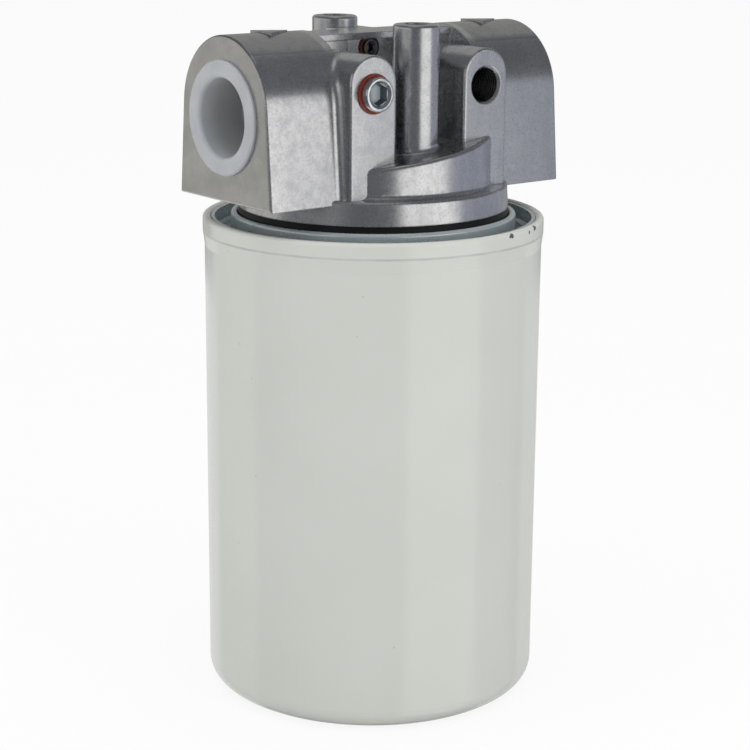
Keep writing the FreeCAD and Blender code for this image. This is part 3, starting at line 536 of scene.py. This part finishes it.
def wound_spring(material):
    """Valve spring: a round wire wound up by a screw."""
    wire, travel, weld = 0.35 * MM, 3.5 * MM, 0.001 * MM
    half_turns, sides = 9, 16
    low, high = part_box("bypass_spring")
    middle, length = (low + high) / 2, high.z - low.z
    bpy.ops.mesh.primitive_circle_add(
        vertices=sides, radius=wire, location=((high.x - low.x) / 2 - wire, 0.0, 0.0),
        rotation=(math.pi / 2, 0.0, 0.0))
    coil = bpy.context.object
    bpy.ops.object.transform_apply(location=True, rotation=True, scale=True)
    changed(coil, "SCREW", axis="Z", angle=math.pi, iterations=half_turns,
            screw_offset=(length - 2 * wire) / half_turns, steps=20, render_steps=20)
    bpy.ops.object.mode_set(mode="EDIT")
    bpy.ops.mesh.select_all(action="SELECT")
    bpy.ops.mesh.remove_doubles(threshold=weld)
    bpy.ops.mesh.fill_holes(sides=sides)
    bpy.ops.mesh.select_all(action="SELECT")
    bpy.ops.mesh.normals_make_consistent(inside=False)
    bpy.ops.object.mode_set(mode="OBJECT")
    coil.location = (middle.x, middle.y, low.z + wire)
    seated(coil, "bypass_spring_wound", material, "bypass_spring", "head")
    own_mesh(coil)


STEEL = turned_steel("machined_steel", (0.46, 0.47, 0.49), (0.33, 0.34, 0.36), 0.32)
SPRING_WIRE = turned_steel("drawn_spring_wire", (0.36, 0.36, 0.38), (0.22, 0.22, 0.24), 0.30)
# Inside of the gauge plug's hex socket: a darker, bluer copy of the zinc that paints the socket's
# shade.
SOCKET_PAINTED_SHADE = turned_steel("socket_painted_shade", (0.52, 0.58, 0.61), (0.34, 0.38, 0.41), 0.34)
# Tap plug: steel coloured dark as painted shade of the pocket it sits in.
SHADE_DARKENED_STEEL = turned_steel("steel_darkened_as_shade", (0.26, 0.26, 0.265), (0.16, 0.16, 0.165), 0.40)

wear(["can_shell"], can_paint())
wear(["seam_lid", "element_top_cap", "element_bottom_cap", "core_tube"], zinc_sheet())
wear(["base_plate", "spring_seat"], STEEL)
wear(["element_spring"], SPRING_WIRE)
wear(["can_gasket", "element_grommet"], black_rubber())
wear(["pleated_media"], filter_paper())
wear(["head_casting"], cast_aluminium())
wear(["gauge_seal", "tap_seal"], red_seal())
wear(["valve_body", "valve_retainer", "bypass_poppet"], valve_brass())
wear(["inlet_cover", "outlet_cover"], cover_plastic())

threaded_spigot(STEEL)
wound_spring(SPRING_WIRE)
socket_plug("gauge_plug_socket", "gauge_plug", (-RIDGE, RIDGE_FRONT, GAUGE),
            zinc_screw(), SOCKET_PAINTED_SHADE, radius=4.65, length=11.0, proud=2.9, flats=5.5, depth=3.8)
socket_plug("tap_plug_socket", "tap_plug", (TAP.x, TAP_FACE, TAP.z),
            SHADE_DARKENED_STEEL, SHADE_DARKENED_STEEL, radius=2.45, length=5.2, proud=1.2, flats=2.5, depth=2.5)


# Studio: pale floor, white surround, grey cards for the reflections, soft lamps and the camera
def white_world():
    """White for camera, glossy and transmission rays, and an even soft light for all else."""
    world = bpy.data.worlds.new("studio_surround")
    bpy.context.scene.world = world
    world.use_nodes = True
    tree = world.node_tree
    soft, white = tree.nodes["Background"], tree.nodes.new("ShaderNodeBackground")
    for background, strength in ((soft, 0.72), (white, 1.0)):
        background.inputs["Color"].default_value = (1.0, 1.0, 1.0, 1.0)
        background.inputs["Strength"].default_value = strength
    path = tree.nodes.new("ShaderNodeLightPath")
    shown = path.outputs["Is Camera Ray"]
    for name in ("Is Glossy Ray", "Is Transmission Ray"):
        either = tree.nodes.new("ShaderNodeMath")
        either.operation = "MAXIMUM"
        tree.links.new(shown, either.inputs[0])
        tree.links.new(path.outputs[name], either.inputs[1])
        shown = either.outputs["Value"]
    mix = tree.nodes.new("ShaderNodeMixShader")
    tree.links.new(shown, mix.inputs["Fac"])
    tree.links.new(soft.outputs["Background"], mix.inputs[1])
    tree.links.new(white.outputs["Background"], mix.inputs[2])
    tree.links.new(mix.outputs["Shader"], tree.nodes["World Output"].inputs["Surface"])


def staged(name, material, thing):
    thing.name = name
    thing.data.materials.append(material)
    return thing


def pale_floor():
    """Round floor just under the filter, brightened for the camera so that it meets the white."""
    radius, gap, glowing = 6.0, 0.2 * MM, 0.88
    floor = Finish("pale_floor", (0.90, 0.90, 0.90), 0.9)
    glow = floor.node("ShaderNodeEmission")
    path = floor.node("ShaderNodeLightPath")
    mix = floor.node("ShaderNodeMixShader")
    floor.join(floor.times(path.outputs["Is Camera Ray"], glowing), mix.inputs["Fac"])
    floor.join(floor.shader.outputs["BSDF"], mix.inputs[1])
    floor.join(glow.outputs["Emission"], mix.inputs[2])
    floor.surface(mix.outputs["Shader"])
    bpy.ops.mesh.primitive_circle_add(
        vertices=ROUND, radius=radius, fill_type="NGON", location=(0.0, 0.0, -gap))
    staged("floor", floor.material, bpy.context.object).visible_glossy = False


# Cards round the filter: heading and height limits in degrees, seen from its middle, and tone
CARDS = [
    ((-15.0, 36.0), (-60.0, 24.0), (0.96, 0.95, 0.94)),
    ((36.0, 120.0), (-60.0, 20.0), (0.30, 0.32, 0.375)),
    ((-170.0, -119.0), (-60.0, 30.0), (0.52, 0.52, 0.50)),
    ((-122.0, -62.0), (4.5, 30.0), (0.56, 0.56, 0.55)),
    ((84.0, 124.0), (-60.0, -11.0), (0.62, 0.62, 0.61)),
    ((122.0, 184.0), (-60.0, -10.0), (0.80, 0.80, 0.79)),
    ((-184.0, -165.0), (-60.0, -11.0), (0.80, 0.80, 0.79)),
    ((98.0, 178.0), (-10.0, 68.0), (0.33, 0.33, 0.32)),
    ((-200.0, 200.0), (74.0, 100.0), (0.40, 0.40, 0.40)),
]
DIM = (0.125, 0.130, 0.140)


def reflection_cards():
    """A dim shell with grey cards on it, which only reflections see."""
    radius, middle, soft = 0.45, 0.12, math.radians(2.0)
    shell = Finish("studio_cards", (0.0, 0.0, 0.0), 1.0)
    out = shell.node("ShaderNodeVectorMath", operation="NORMALIZE")
    shell.join(shell.place, out.inputs[0])
    x, y, z = [shell.axis(name, out.outputs["Vector"]) for name in "XYZ"]
    heading = shell.math("ARCTAN2", x, shell.times(y, -1.0))
    rise = shell.math("ARCSINE", z)
    tone = DIM
    for (left, right), (low, high), bright in CARDS:
        wide = shell.window(heading, math.radians(left), math.radians(right), soft)
        tall = shell.window(rise, math.radians(low), math.radians(high), soft)
        tone = shell.mixed(shell.times(wide, tall), tone, bright)
    glow = shell.node("ShaderNodeEmission")
    shell.join(tone, glow.inputs["Color"])
    shell.surface(glow.outputs["Emission"])
    shell.material.cycles.emission_sampling = "NONE"
    bpy.ops.mesh.primitive_uv_sphere_add(
        segments=64, ring_count=32, radius=radius, location=(0.0, 0.0, middle))
    tent = staged("cards", shell.material, bpy.context.object)
    tent.visible_camera = False
    tent.visible_diffuse = False
    tent.visible_transmission = False
    tent.visible_shadow = False


def softbox(name, heading, rise, reach, width, height, power):
    """A lamp that faces the filter's middle. Its heading is in degrees clockwise from +Y."""
    target = Vector((0.0, 0.0, 0.11))
    lamp = bpy.data.lights.new(name, "AREA")
    lamp.shape = "RECTANGLE"
    lamp.size = width
    lamp.size_y = height
    lamp.energy = power
    holder = bpy.data.objects.new(name, lamp)
    bpy.context.scene.collection.objects.link(holder)
    holder.visible_glossy = False
    turn, up = math.radians(heading), math.radians(rise)
    out = Vector((math.sin(turn) * math.cos(up), math.cos(turn) * math.cos(up), math.sin(up)))
    holder.location = target + out * reach
    holder.rotation_euler = (-out).to_track_quat("-Z", "Y").to_euler()


def photo_camera():
    """Camera that looks down a little and leans by half a degree."""
    place = (-0.3468, -0.4453, 0.23796)
    heading, tilt, roll = 0.664, math.radians(14.577), 0.008
    lens = bpy.data.cameras.new("photo_camera")
    lens.lens = 95.66
    lens.sensor_width = 36.0
    lens.clip_start = 0.01
    lens.clip_end = 50.0
    lens.shift_x = -0.002
    holder = bpy.data.objects.new("photo_camera", lens)
    bpy.context.scene.collection.objects.link(holder)
    flat = Vector((math.sin(heading), math.cos(heading), 0.0))
    ahead = flat * math.cos(tilt) - Vector((0.0, 0.0, math.sin(tilt)))
    right = Vector((math.cos(heading), -math.sin(heading), 0.0))
    up = right.cross(ahead)
    leaning = right * math.cos(roll) + up * math.sin(roll)
    upright = up * math.cos(roll) - right * math.sin(roll)
    turned = Matrix((leaning, upright, -ahead)).transposed()
    holder.matrix_world = Matrix.Translation(place) @ turned.to_4x4()
    bpy.context.scene.camera = holder


white_world()
pale_floor()
reflection_cards()
softbox("lamp_right", 170.0, 12.0, reach=1.1, width=0.34, height=0.9, power=2.6)
softbox("lamp_left", 282.0, 20.0, reach=1.2, width=0.9, height=0.9, power=2.7)
softbox("lamp_top", 200.0, 78.0, reach=1.0, width=0.9, height=0.9, power=2.8)
photo_camera()
bpy.context.scene.view_settings.view_transform = "Standard"
